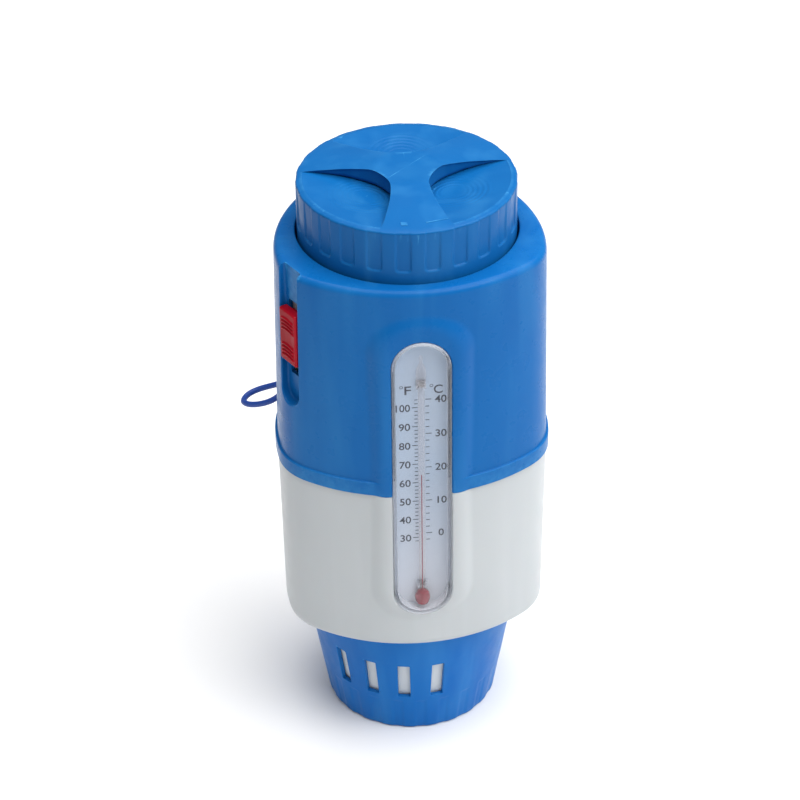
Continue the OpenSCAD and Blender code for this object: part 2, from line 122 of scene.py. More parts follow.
def make_camera():
    data = bpy.data.cameras.new("camera")
    data.lens = CAMERA_LENS
    data.shift_x = CAMERA_SHIFT_X
    camera = bpy.data.objects.new("camera", data)
    bpy.context.scene.collection.objects.link(camera)
    towards = heading(CAMERA_AZIMUTH, CAMERA_ELEVATION)
    camera.location = (Vector((0, 0, CAMERA_TARGET_Z)) + towards * CAMERA_DISTANCE) * MM
    turn = (-towards).to_track_quat("-Z", "Y") @ Quaternion((0, 0, 1), math.radians(CAMERA_ROLL))
    camera.rotation_euler = turn.to_euler()
    bpy.context.scene.camera = camera


make_camera()


# ---- Mesh helpers ----


def new_object(name, mesh):
    obj = bpy.data.objects.new(name, mesh)
    bpy.context.scene.collection.objects.link(obj)
    return obj


def mesh_object(name, points, faces):
    mesh = bpy.data.meshes.new(name)
    mesh.from_pydata([tuple(p) for p in np.asarray(points) * MM], [], faces)
    mesh.validate()
    return new_object(name, mesh)


def loft(name, rows, closed=False, poles=False):
    """Skin over rows of equally many points round the axis. closed joins the last row to the first.
    With poles, the first and the last row are closed with a fan round their middle."""
    rows = np.asarray(rows, float)
    count, around = rows.shape[:2]
    points = rows.reshape(-1, 3)
    k = np.arange(around)
    after = (k + 1) % around
    faces = []
    for i in range(count if closed else count - 1):
        j = (i + 1) % count
        quads = np.stack([i * around + k, i * around + after, j * around + after, j * around + k], 1)
        faces += quads.tolist()
    if poles:
        low, high = len(points), len(points) + 1
        points = np.vstack([points, rows[0].mean(0), rows[-1].mean(0)])
        last = (count - 1) * around
        faces += np.stack([np.full(around, low), after, k], 1).tolist()
        faces += np.stack([np.full(around, high), last + k, last + after], 1).tolist()
    return mesh_object(name, points, faces)


def fix_normals(obj):
    bm = bmesh.new()
    bm.from_mesh(obj.data)
    bmesh.ops.recalc_face_normals(bm, faces=bm.faces)
    bm.to_mesh(obj.data)
    bm.free()
    return obj


def apply_modifiers(obj):
    graph = bpy.context.evaluated_depsgraph_get()
    mesh = bpy.data.meshes.new_from_object(obj.evaluated_get(graph))
    obj.modifiers.clear()
    old = obj.data
    obj.data = mesh
    bpy.data.meshes.remove(old)
    return obj


def cut(obj, *cutters, operation="DIFFERENCE"):
    """Cuts the closed meshes away from obj, or joins them to it, and deletes them."""
    for cutter in cutters:
        fix_normals(cutter)
        step = obj.modifiers.new("cut", "BOOLEAN")
        step.operation = operation
        step.solver = "MANIFOLD"
        step.object = cutter
        bpy.context.view_layer.update()
        apply_modifiers(obj)
        bpy.data.objects.remove(cutter)
    return obj


def join(name, objects):
    """One object made of several, with their materials kept."""
    bpy.ops.object.select_all(action="DESELECT")
    for obj in objects:
        obj.select_set(True)
    bpy.context.view_layer.objects.active = objects[0]
    bpy.ops.object.join()
    objects[0].name = name
    return objects[0]


def smooth(obj, angle=35.0):
    """Smooth shading that keeps edges sharper than the angle, with face-weighted normals."""
    bpy.ops.object.select_all(action="DESELECT")
    obj.select_set(True)
    bpy.context.view_layer.objects.active = obj
    bpy.ops.object.shade_smooth_by_angle(angle=math.radians(angle))
    step = obj.modifiers.new("weights", "WEIGHTED_NORMAL")
    step.keep_sharp = True
    return apply_modifiers(obj)


def rounded_box(name, low, high, radius, segments=3):
    low, high = np.asarray(low, float), np.asarray(high, float)
    bm = bmesh.new()
    bmesh.ops.create_cube(bm, size=1.0)
    for v in bm.verts:
        v.co = Vector((low + (np.array(v.co) + 0.5) * (high - low)) * MM)
    bmesh.ops.bevel(bm, geom=bm.edges[:], offset=radius * MM, segments=segments, profile=0.5,
                    affect="EDGES")
    mesh = bpy.data.meshes.new(name)
    bm.to_mesh(mesh)
    bm.free()
    return new_object(name, mesh)


def lathe(name, profile, around=64, closed=False):
    """Solid of revolution about a vertical axis from (radius, height) points."""
    t = np.linspace(0, 2 * math.pi, around, endpoint=False)
    rows = [np.stack([r * np.cos(t), r * np.sin(t), np.full(around, z)], 1) for r, z in profile]
    return fix_normals(loft(name, rows, closed=closed, poles=not closed))


def arc(centre, radius, start, end, steps):
    """Points (u, v) on an arc, angles in degrees."""
    angles = np.radians(np.linspace(start, end, steps))
    return [(centre[0] + radius * math.cos(a), centre[1] + radius * math.sin(a)) for a in angles]


def turned(obj, angle):
    """Turns a mesh that was drawn facing +X to a heading."""
    obj.data.transform(Matrix.Rotation(math.radians(angle - 90), 4, "Z"))
    return obj


def placed(local, angle):
    """Points (out, along, up), seen from the axis towards a heading, in the row frame."""
    a = math.radians(angle - 90)
    x = local[:, 0] * math.cos(a) - local[:, 1] * math.sin(a)
    y = local[:, 0] * math.sin(a) + local[:, 1] * math.cos(a)
    return np.column_stack([x, y, local[:, 2]])


def ring(headings, radii, z):
    """Points round the axis, from one radius and height or from one for each heading."""
    directions = np.stack([np.sin(np.radians(headings)), -np.cos(np.radians(headings))], 1)
    radii = np.broadcast_to(np.asarray(radii, float), headings.shape)
    return np.column_stack([directions * radii[:, None], np.broadcast_to(z, headings.shape)])


def steps_between(low, high, pitch):
    count = max(2, int(round(abs(high - low) / pitch)) + 1)
    return np.linspace(low, high, count)


def ride(obj, body, slot, *nodes):
    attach(obj, body)
    if nodes:
        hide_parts(*nodes)
    return obj


# ---- Outline of the float, as a radius at each heading ----


def plan_r(angles, grow):
    """Radius of the rounded triangle at headings in degrees, grown by an offset."""
    folded = np.abs((angles + 60) % 120 - 60)
    a = np.radians(folded)
    b = np.radians(60 - folded)
    r_side = -SIDE_BACK * np.cos(a) + np.sqrt((SIDE_CURVE_R + grow) ** 2 - (SIDE_BACK * np.sin(a)) ** 2)
    inside = np.maximum((CORNER_R + grow) ** 2 - (CORNER_D * np.sin(b)) ** 2, 0)
    r_corner = CORNER_D * np.cos(b) + np.sqrt(inside)
    along = np.arctan2(r_side * np.sin(a), SIDE_BACK + r_side * np.cos(a))
    split = math.atan2(CORNER_D * math.sin(math.radians(60)),
                       SIDE_BACK + CORNER_D * math.cos(math.radians(60)))
    return np.where(along <= split, r_side, r_corner)


def top_grow(z):
    return (TOP_Z - z) * DRAFT


def bottom_grow(z):
    return JOINT_GROW - (JOINT_Z - z) * DRAFT


def soft_max(a, b, width):
    h = np.clip(0.5 + 0.5 * (a - b) / width, 0, 1)
    return b * (1 - h) + a * h + width * h * (1 - h)


BOSS_FLAT = 1.5
BOSS_REACH = 10.5
BOSS_DROP = 6.1
BOSS_POWER = 2.1
BOSS_END_STRETCH = 0.25
BOSS_BLEND = 0.9
BOSS_HALF_ANGLE = 36.0
LINING = 2.0
LINING_SIDE = 2.5
LINING_END = 3.0


def boss_depth(x, z):
    """Distance from the axis, towards the front, of the pillow round the lens."""
    beyond = np.zeros_like(x)
    for _ in range(4):
        up = np.maximum(np.abs(z - BOSS_Z) - (LENS_H - LENS_W) / 2 - BOSS_END_STRETCH * beyond, 0)
        beyond = np.maximum(np.hypot(x, up) - LENS_W / 2, 0)
    return BOSS_FRONT - BOSS_DROP * (np.maximum(beyond - BOSS_FLAT, 0) / BOSS_REACH) ** BOSS_POWER


def outer_r(angles, z, grow):
    """Radius of the shell's outside, with the pillow blended in near the front."""
    r = plan_r(angles, grow)
    side = (angles + 180) % 360 - 180
    near = np.abs(side) < BOSS_HALF_ANGLE
    a = np.radians(side[near])
    base = r[near]
    value = base.copy()
    for _ in range(6):
        depth = boss_depth(value * np.sin(a), z)
        value = soft_max(base * np.cos(a), depth, BOSS_BLEND) / np.cos(a)
        value = np.maximum(value, base)
    r[near] = value
    return r


def inner_r(angles, z, grow):
    """Radius of the shell's inside, drawn in behind the thermometer pocket and the lock channel."""
    r = plan_r(angles, grow - WALL)
    side = (angles + 180) % 360 - 180
    a = np.radians(side)
    front = (np.abs(side) < 30) & (np.abs(r * np.sin(a)) < LENS_W / 2 + LINING_SIDE)
    if abs(z - LENS_Z) < LENS_H / 2 + LINING_END:
        r = np.where(front, np.minimum(r, (POCKET_FLOOR - LINING) / np.cos(a)), r)
    if z > CHANNEL_LOW_Z - LINING_END:
        b = np.radians((angles - LOCK_HEADING + 180) % 360 - 180)
        corner = (np.abs(b) < 0.5) & (np.abs(r * np.sin(b)) < CHANNEL_HALF + LINING_SIDE)
        r = np.where(corner, np.minimum(r, (CHANNEL_X - LINING) / np.cos(b)), r)
    return r


HEADINGS = np.linspace(-180, 180, 540, endpoint=False)


def ring_at(radii, z):
    return ring(HEADINGS, radii, z)


def skin_at(z, grow, lift=0.0):
    return ring_at(outer_r(HEADINGS, z, grow), z + lift)


# ---- Cutters ----


def stadium(width, height, offset):
    """Stadium outline in (x, z), grown by an offset."""
    r = width / 2 + offset
    half = (height - width) / 2
    upper = arc((0, half), r, 0, 180, 28)
    lower = arc((0, -half), r, 180, 360, 28)
    side = np.linspace(half, -half, 30)[1:-1]
    left = [(-r, v) for v in side]
    right = [(r, v) for v in side[::-1]]
    return upper + left + lower + right


def on_front(outline, depth):
    """Puts (x, z) points, with z from the lens's middle, on an upright plane in front of the axis."""
    p = np.array(outline)
    return np.column_stack([p[:, 0], np.full(len(p), -depth), p[:, 1] + LENS_Z])


def pocket_cutter():
    """Lens pocket with a rounded lip."""
    lip = 0.9

    def row(offset, depth):
        return on_front(stadium(LENS_W + 2 * POCKET_GAP, LENS_H + 2 * POCKET_GAP, offset), depth)

    rows = [row(0, POCKET_FLOOR)]
    for t in LIP_TURNS:
        rows.append(row(lip * (1 - math.cos(t)), BOSS_FRONT - lip + lip * math.sin(t) + 0.02))
    rows.append(row(lip + 0.05, BOSS_FRONT + 6))
    return fix_normals(loft("pocket", rows, poles=True))


def corner_surface(along, z):
    """How far out the shell's corner surface is, in the lock's frame."""
    r = CORNER_R + top_grow(np.minimum(z, TOP_Z))
    return CORNER_D + np.sqrt(np.maximum(r**2 - along**2, 0))


def channel_outline(offset):
    half = CHANNEL_HALF + offset
    centre = CHANNEL_LOW_Z + CHANNEL_HALF
    bottom = arc((0, centre), half, 180, 360, 33)
    right = [(half, z) for z in np.linspace(centre, TOP_Z + 8, 40)[1:]]
    left = [(-half, z) for z in np.linspace(TOP_Z + 8, centre, 40)[:-1]]
    return bottom + right + left


def channel_cutter():
    """Open-topped channel with a rounded foot and soft edges."""
    lip, foot = 1.0, 1.2
    edge = np.array(channel_outline(0.0))
    surface = corner_surface(edge[:, 0], edge[:, 1])

    def row(offset, out):
        p = np.array(channel_outline(offset))
        return placed(np.column_stack([np.broadcast_to(out, len(p)), p]), LOCK_HEADING)

    rows = [row(-foot * (1 - math.cos(t)), CHANNEL_X + foot * (1 - math.sin(t)))
            for t in np.radians([90, 60, 30, 0])]
    rows += [row(lip * (1 - math.cos(t)), surface - lip + lip * math.sin(t) + 0.02) for t in LIP_TURNS]
    rows.append(row(lip + 0.02, 90.0))
    return fix_normals(loft("channel", rows, poles=True))


def lock_box(name, out, half, low, high):
    """Box across the lock's frame, from one reach to another and from low to high."""
    return turned(rounded_box(name, (out[0], -half, low), (out[1], half, high), 0.3, 1), LOCK_HEADING)


# ---- Float ----

LOCK_SLOT_HALF = 4.2
LOCK_SLOT_LOW_Z = 215.5
LOCK_SLOT_HIGH_Z = 256.5
NOSE_HALF = 4.6
NOSE_LOW_Z = 248.6
NOSE_HIGH_Z = 265.8


def build_top_shell():
    rows = [skin_at(JOINT_Z, JOINT_GROW + BAND_OUT - 0.4)]
    band_high = JOINT_Z + BAND_H
    for z, inset in ((JOINT_Z + 0.4, 0.0), (band_high - 0.7, 0.0), (band_high - 0.3, 0.15),
                     (band_high - 0.05, 0.5), (band_high, 0.9)):
        rows.append(skin_at(z, JOINT_GROW + BAND_OUT - inset))
    for lift, inset in ((0.0, -0.25), (0.15, -0.08), (0.45, 0.0)):
        rows.append(skin_at(band_high, top_grow(band_high) - inset, lift))
    edge = 3.2
    for z in steps_between(band_high + 1.2, TOP_Z - edge, 1.1):
        rows.append(skin_at(z, top_grow(z)))
    for t in np.radians(np.linspace(8, 90, 11)):
        rows.append(ring_at(plan_r(HEADINGS, -edge * (1 - math.cos(t))), TOP_Z - edge * (1 - math.sin(t))))
    rim, lip = plan_r(HEADINGS, -edge), 0.8
    for s in np.linspace(0, 1, 10)[1:]:
        rows.append(ring_at(rim * (1 - s) + (WELL_R + lip) * s, TOP_Z))
    for t in np.radians([30, 60, 90]):
        rows.append(ring_at(WELL_R + lip * (1 - math.sin(t)), TOP_Z - lip * (1 - math.cos(t))))
    for z in steps_between(TOP_Z - 3, WELL_FLOOR_Z + 1, 4):
        rows.append(ring_at(WELL_R, z))
    for r, z in ((WELL_R - 0.3, WELL_FLOOR_Z + 0.3), (WELL_R - 1, WELL_FLOOR_Z),
                 (TUBE_HOLE_R, WELL_FLOOR_Z), (TUBE_HOLE_R, WELL_FLOOR_Z - 2.5),
                 (WELL_R + 2, WELL_FLOOR_Z - 2.5), (WELL_R + 2, TOP_Z - WALL)):
        rows.append(ring_at(r, z))
    for z in [TOP_Z - WALL, *steps_between(TOP_Z - 6, CHANNEL_LOW_Z - 1, 6),
              *steps_between(CHANNEL_LOW_Z - 4, JOINT_Z, 8)]:
        rows.append(ring_at(inner_r(HEADINGS, z, top_grow(z) - (1.5 if z > TOP_Z - 3 else 0)), z))
    shell = fix_normals(loft("top_shell_skin", rows, closed=True))
    cut(shell, pocket_cutter(), channel_cutter(),
        lock_box("slot", (CHANNEL_X - 6, CHANNEL_X + 2), LOCK_SLOT_HALF, LOCK_SLOT_LOW_Z, LOCK_SLOT_HIGH_Z),
        lock_box("window", (WELL_R - 3, WELL_R + 3), NOSE_HALF, NOSE_LOW_Z, NOSE_HIGH_Z))
    return smooth(shell, 32)


def build_bottom_shell():
    top = JOINT_Z - 0.2
    rows = [skin_at(top, JOINT_GROW - 0.3)]
    edge = 5.0
    for z in [top - 0.3, *steps_between(top - 1.3, BASE_Z + edge, 1.1)]:
        rows.append(skin_at(z, bottom_grow(z)))
    for t in np.radians(np.linspace(8, 90, 10)):
        rows.append(skin_at(BASE_Z + edge * (1 - math.sin(t)), BASE_GROW - edge * (1 - math.cos(t))))
    rim = plan_r(HEADINGS, BASE_GROW - edge)
    for s in np.linspace(0, 1, 8)[1:]:
        rows.append(ring_at(rim * (1 - s) + TUBE_HOLE_R * s, BASE_Z))
    rows.append(ring_at(TUBE_HOLE_R, BASE_Z + WALL))
    for z in [BASE_Z + WALL, *steps_between(BASE_Z + 6, top, 6)]:
        rows.append(ring_at(inner_r(HEADINGS, z, bottom_grow(z) - (3 if z < BASE_Z + 4 else 0)), z))
    shell = fix_normals(loft("bottom_shell_skin", rows, closed=True))
    cut(shell, pocket_cutter())
    return smooth(shell, 32)


top_shell = build_top_shell()
bottom_shell = build_bottom_shell()


# ---- Tether lug and cord ----

TETHER_HEADING = -118.0
LUG_REACH = 66.0
LUG_Z = 166.0
LUG_R = 3.3
LUG_HALF = 3.0
CORD_R = 1.5
CORD_HALF = [(66, 0.3, 166), (66, 2, 166), (66, 3.4, 166), (66.7, 5.7, 165.5), (68.3, 7.7, 164.2),
             (70.4, 8.9, 162.7), (73.8, 9.4, 160.7), (78, 9.2, 158.6), (82, 8.4, 156.9), (85.4, 7, 155.6),
             (88.1, 4.8, 154.6), (89.3, 2.4, 154.2)]
CORD_TIP = (89.6, 0, 154.1)


def catmull_rom(points, steps):
    """Smooth curve through points, with some steps between each two."""
    p = np.asarray(points, float)
    p = np.vstack([2 * p[0] - p[1], p, 2 * p[-1] - p[-2]])
    out = []
    for a, b, c, d in zip(p, p[1:], p[2:], p[3:]):
        for t in np.arange(steps) / steps:
            out.append(0.5 * (2 * b + (c - a) * t + (2 * a - 5 * b + 4 * c - d) * t * t
                              + (3 * b - a - 3 * c + d) * t**3))
    return np.array(out + [p[-2]])


def tube_along(name, path, radius, around=20):
    """Round tube on a path, closed at both ends."""
    steps = np.gradient(path, axis=0)
    side = np.cross(steps[0] / np.linalg.norm(steps[0]), (0, 0, 1.0))
    rows = []
    t = np.linspace(0, 2 * math.pi, around, endpoint=False)
    for point, step in zip(path, steps):
        along = step / np.linalg.norm(step)
        side = side - along * side.dot(along)
        side /= np.linalg.norm(side)
        up = np.cross(side, along)
        rows.append(point + radius * (np.outer(np.cos(t), side) + np.outer(np.sin(t), up)))
    return fix_normals(loft(name, rows, poles=True))


def build_lug():
    """Round eye, the plate behind it and the hole through it, each as a mesh of its own."""
    turn = Matrix.Rotation(math.radians(TETHER_HEADING - 90), 4, "Z")
    out = Matrix.Translation(Vector((LUG_REACH, 0, LUG_Z)) * MM)
    lay = turn @ out @ Matrix.Rotation(math.pi / 2, 4, "X")
    edge, hole_r = 0.5, CORD_R + 0.65
    profile = [(LUG_R - edge, -LUG_HALF)]
    profile += [(LUG_R - edge + u, -LUG_HALF + edge + v) for u, v in arc((0, 0), edge, -60, 0, 3)]
    profile += [(r, -h) for r, h in profile[::-1]]
    eye = lathe("lug_eye", profile, around=40)
    hole = lathe("lug_hole", [(hole_r, -8), (hole_r, 8)], around=40)
    for part in (eye, hole):
        part.data.transform(lay)
    plate = rounded_box("lug_plate", (LUG_REACH - 5.4, -LUG_HALF, LUG_Z - LUG_R),
                        (LUG_REACH, LUG_HALF, LUG_Z + LUG_R), 0.45)
    return eye, turned(plate, TETHER_HEADING), hole


lug_eye, lug_plate, lug_hole = build_lug()
cut(top_shell, lug_plate, lug_eye, operation="UNION")
cut(top_shell, lug_hole)
smooth(top_shell, 32)

cord_route = np.array(CORD_HALF + [CORD_TIP] + [(x, -y, z) for x, y, z in CORD_HALF[::-1]], float)
cord_path = placed(catmull_rom(cord_route, 4), TETHER_HEADING)
tether = tube_along("tether_loop", cord_path, CORD_R)
smooth(tether, 50)


# ---- Cap ----

CAP_HEADINGS = np.linspace(-180, 180, 720, endpoint=False)
SKIRT_LOW_Z = 262.0
SKIRT_T = 2.4
RING_R = 43.2
RING_T = 2.6
RING_LOW_Z = 266.0
CEILING_Z = 294.0
STEP_Z = 286.3
STEP_R = 39.0
FLUTES = 24
FLUTE_HALF = 3.95
FLUTE_LOW_Z = 280.1
FLUTE_DEPTH = 0.75
FLUTE_FADE_Z = 290.0
FLUTE_CORNER = 2.0
FLUTE_SIDE = 0.95
FLUTE_FADE = 0.75
RIM_EDGE = 1.1
THREAD_START_Z = 271.0
THREAD_LEAD = 12.0
THREAD_H = 1.6
THREAD_ANGLE = 252.0
CAP_SLOPE = HUB_RISE / (CAP_R - 1 - HUB_R)
RECESS_HALF = [(0.245, 0), (0.27, 0.146), (0.36, 0.285), (0.48, 0.423), (0.61, 0.54), (0.715, 0.61)]
RECESS_END = 0.94
RECESS_TILT = math.tan(math.radians(7)) + 0.012
RECESS_RIM_RISE = 0.22
RIPPLE_OUT = 0.45 * CAP_R
RIPPLE_H = 0.12
RIPPLE_PITCH = 2.4
NOTCH_HALF = 4.8
NOTCH_H = 4.0
MARK_H = 0.22


def fluted_r(headings, z):
    """Radius of the cap's skirt with its flutes, which grow shallower towards the rim."""
    across = np.abs(CAP_R * np.radians(headings % (360 / FLUTES) - 180 / FLUTES))
    qx = across - (FLUTE_HALF - FLUTE_CORNER)
    qz = FLUTE_LOW_Z + FLUTE_CORNER - z
    outside = np.hypot(np.maximum(qx, 0), max(qz, 0)) + np.minimum(np.maximum(qx, qz), 0) - FLUTE_CORNER
    t = np.clip(-outside / FLUTE_SIDE, 0, 1)
    fade = 1 - FLUTE_FADE * min(max((z - FLUTE_FADE_Z) / (CAP_RIM_Z - FLUTE_FADE_Z), 0), 1)
    return CAP_R - FLUTE_DEPTH * fade * t * t * (3 - 2 * t)


def cap_top(r):
    """Height of the cap's top: a flat hub and a shallow cone, with a soft turn between them."""
    cone = CAP_RIM_Z + (CAP_R - 1 - np.asarray(r, float)) * CAP_SLOPE
    hub = np.full_like(cone, CAP_RIM_Z + HUB_RISE)
    h = np.clip(0.5 + 0.5 * (cone - hub) / 0.25, 0, 1)
    return cone * (1 - h) + hub * h - 0.25 * h * (1 - h)


def cap_thread(headings, z):
    """How far the inner thread's two starts stand in from the ring."""
    depth = np.zeros_like(headings)
    for start in (0, 180):
        past = (headings - 90 - start) % 360
        centre = THREAD_START_Z + THREAD_LEAD * past / 360
        ends = np.clip(np.minimum(past, THREAD_ANGLE - past) / 8, 0, 1)
        depth = np.maximum(depth, THREAD_H * np.clip((1.3 - np.abs(z - centre)) / 0.7, 0, 1) * ends)
    return depth


def cap_row(radii, z):
    return ring(CAP_HEADINGS, radii, z)


def recess_outline():
    half = np.array(RECESS_HALF) * CAP_R
    curve = catmull_rom(np.vstack([half[:0:-1] * (1, -1), half]), 8)
    end = math.atan2(half[-1, 1], half[-1, 0])
    angles = np.linspace(end, -end, 42)[1:-1]
    rim = RECESS_END * CAP_R * np.column_stack([np.cos(angles), np.sin(angles)])
    return np.vstack([curve, rim])


def grown(outline, offset):
    """Outline moved outwards along its normals."""
    along = np.roll(outline, -1, 0) - np.roll(outline, 1, 0)
    along /= np.linalg.norm(along, axis=1)[:, None]
    normals = np.column_stack([along[:, 1], -along[:, 0]])
    return outline + np.asarray(offset, float).reshape(-1, 1) * normals


def recess_cutter(turn):
    """Finger recess: a floor that falls towards the hub, with fine rings, and rounded walls."""
    outline = recess_outline()
    ripple_centre = np.array([RIPPLE_OUT, 0.0])

    def tilted(p):
        inward = RECESS_END * CAP_R - np.linalg.norm(p, axis=1)
        return CAP_RIM_Z + RECESS_RIM_RISE - inward * RECESS_TILT

    def floor(p):
        away = np.linalg.norm(p - ripple_centre, axis=1)
        inside = np.clip((away - 5) / 2, 0, 1) * np.clip((19 - away) / 2, 0, 1)
        return tilted(p) + RIPPLE_H * inside * np.sin(2 * math.pi * away / RIPPLE_PITCH)

    top = cap_top(np.linalg.norm(outline, axis=1))
    plain_floor = tilted(outline)
    depth = np.maximum(top - plain_floor, 0.04)
    foot, lip = np.minimum(2.8, 0.5 * depth), np.minimum(1.0, 0.35 * depth)
    rows = []
    inner = grown(outline, -foot)
    for s in np.linspace(0.03, 1, 44):
        p = ripple_centre + s * (inner - ripple_centre)
        rows.append(np.column_stack([p, floor(p) if s < 1 else plain_floor]))
    for t in np.radians([30, 60, 90]):
        p = grown(outline, -foot * (1 - math.sin(t)))
        rows.append(np.column_stack([p, plain_floor + foot * (1 - math.cos(t))]))
    for t in LIP_TURNS:
        p = grown(outline, lip * (1 - math.cos(t)))
        rows.append(np.column_stack([p, top - lip + lip * math.sin(t) + 0.01]))
    p = grown(outline, lip + 0.02)
    rows.append(np.column_stack([p, np.full(len(p), CAP_RIM_Z + HUB_RISE + 3)]))
    return turned(loft("recess", rows, poles=True), turn)


def cap_mark(outline):
    """Thin raised mark on the cap's top, from a convex outline in (x, y)."""
    outline = np.array(outline, float)
    top = cap_top(np.linalg.norm(outline, axis=1))
    return fix_normals(loft("mark", [np.column_stack([outline, top - 0.4]),
                                     np.column_stack([outline, top + MARK_H])], poles=True))


def build_cap():
    skirt_r, ring_r = CAP_R - SKIRT_T, RING_R + RING_T
    rows = [cap_row(r, z) for r, z in ((5, CEILING_Z), (STEP_R - 0.5, CEILING_Z), (STEP_R, CEILING_Z - 0.5),
                                       (STEP_R, STEP_Z), (RING_R, STEP_Z))]
    for z in steps_between(STEP_Z - 0.6, RING_LOW_Z + 0.7, 0.6):
        rows.append(cap_row(RING_R - cap_thread(CAP_HEADINGS, z), z))
    rows += [cap_row(r, z) for r, z in (
        (RING_R + 0.3, RING_LOW_Z), (ring_r - 0.3, RING_LOW_Z), (ring_r, RING_LOW_Z + 0.3),
        (ring_r, CEILING_Z), (skirt_r, CEILING_Z), (skirt_r, SKIRT_LOW_Z + 0.5),
        (skirt_r + 0.5, SKIRT_LOW_Z), (CAP_R - 0.5, SKIRT_LOW_Z), (CAP_R - 0.12, SKIRT_LOW_Z + 0.25),
        (CAP_R, SKIRT_LOW_Z + 0.7))]
    for z in [*steps_between(SKIRT_LOW_Z + 3, FLUTE_LOW_Z - 1, 3),
              *steps_between(FLUTE_LOW_Z - 0.4, FLUTE_LOW_Z + 3.4, 0.32),
              *steps_between(FLUTE_LOW_Z + 5, CAP_RIM_Z - RIM_EDGE, 3)]:
        rows.append(cap_row(fluted_r(CAP_HEADINGS, z), z))
    edge_low = cap_top(CAP_R) - RIM_EDGE
    for t in np.radians([0, 20, 40, 60, 80, 97]):
        r = fluted_r(CAP_HEADINGS, edge_low) - RIM_EDGE * (1 - math.cos(t))
        rows.append(cap_row(r, edge_low + RIM_EDGE * math.sin(t)))
    inner_edge = fluted_r(CAP_HEADINGS, edge_low) - RIM_EDGE * 1.6
    rows.append(cap_row(inner_edge, cap_top(inner_edge)))
    for r in [48.5, 45, 40, 35, 30, 25, 20, 17.4, 16.6, 16, 15.4, 14.6, 12, 6, 2]:
        rows.append(cap_row(r, cap_top(r)))
    cap = fix_normals(loft("cap_body", rows, poles=True))
    notch = rounded_box("notch", (CAP_R - 5, -NOTCH_HALF, SKIRT_LOW_Z - 1),
                        (CAP_R + 3, NOTCH_HALF, SKIRT_LOW_Z + NOTCH_H), 0.4)
    cut(cap, *[recess_cutter(180 + 120 * i) for i in range(3)], turned(notch, LOCK_HEADING))
    dash = [(4.5, -45.4), (15.0, -42.9), (15.0, -42.3), (4.5, -44.8)]
    square = [(-7.2, -46.2), (-4.2, -46.5), (-4.2, -44.2), (-7.2, -43.9)]
    cut(cap, *[cap_mark(outline) for outline in (dash, square)], operation="UNION")
    return smooth(cap, 34)


cap = build_cap()


# ---- Dosing basket ----

BASKET_H = BASKET_HIGH[2] - BASKET_LOW[2]
BASKET_BASE_R = 43.3
BASKET_SLOPE = 11.2 / 66.3
BASKET_WALL = 2.35
SLOT_W = 6.2
SLOT_H = 22.6
SLOT_LOW_Z = 24.0
SLOT_HEADINGS = [first + 20 * i for first in (-50.2, 129.8) for i in range(4)]
SEAM_Z = 48.2
SEAM_STEP = 0.3
GRIP_PITCH = 15.0
GRIP_HALF = 3.6
GRIP_SIDE = 2.2
GRIP_DEPTH = 0.2
GRIP_HIGH_Z = 20.0
BASKET_HEADINGS = np.linspace(-180, 180, 576, endpoint=False)


def basket_r(z):
    return BASKET_BASE_R + BASKET_SLOPE * z


def basket_row(radii, z):
    return ring(BASKET_HEADINGS, radii, z)


def basket_outer(z):
    """Outside of the basket: a cone with shallow grip flutes at its foot and a step at the seam."""
    r = basket_r(z) + (SEAM_STEP if z > SEAM_Z else 0)
    from_middle = (BASKET_HEADINGS + GRIP_PITCH / 2) % GRIP_PITCH - GRIP_PITCH / 2
    across = np.abs(basket_r(z) * np.radians(from_middle))
    depth = GRIP_DEPTH * (2 - z / GRIP_HIGH_Z) * np.clip((GRIP_HIGH_Z + 1 - z) / 1.2, 0, 1)
    t = np.clip((GRIP_HALF - across) / GRIP_SIDE, 0, 1)
    return r - depth * t * t * (3 - 2 * t)


def slot_cutter(angle):
    corner, lip = 0.5, 0.45

    def outline(offset):
        half_w, low, high = SLOT_W / 2 + offset, SLOT_LOW_Z - offset, SLOT_LOW_Z + SLOT_H + offset
        r = corner + offset
        points = []
        for cx, cz, start in ((half_w - r, high - r, 0), (-half_w + r, high - r, 90),
                              (-half_w + r, low + r, 180), (half_w - r, low + r, 270)):
            points += arc((cx, cz), r, start, start + 90, 4)
        dense = []
        for (a, b), (c, d) in zip(points, points[1:] + points[:1]):
            count = max(1, int(math.hypot(c - a, d - b) / 1.0))
            dense += [(a + (c - a) * k / count, b + (d - b) * k / count) for k in range(count)]
        return np.array(dense)

    base = outline(0.0)
    surface = np.sqrt(basket_r(base[:, 1]) ** 2 - base[:, 0] ** 2)
    rows = [np.column_stack([np.full(len(base), 30.0), base])]
    for t in np.radians([0, 30, 60, 90]):
        p = base + (outline(1.0) - base) * lip * (1 - math.cos(t))
        rows.append(np.column_stack([surface - lip + lip * math.sin(t) + 0.01, p]))
    rows.append(np.column_stack([np.full(len(base), 62.0), base + (outline(1.0) - base) * (lip + 0.02)]))
    return turned(loft("slot", rows, poles=True), angle)


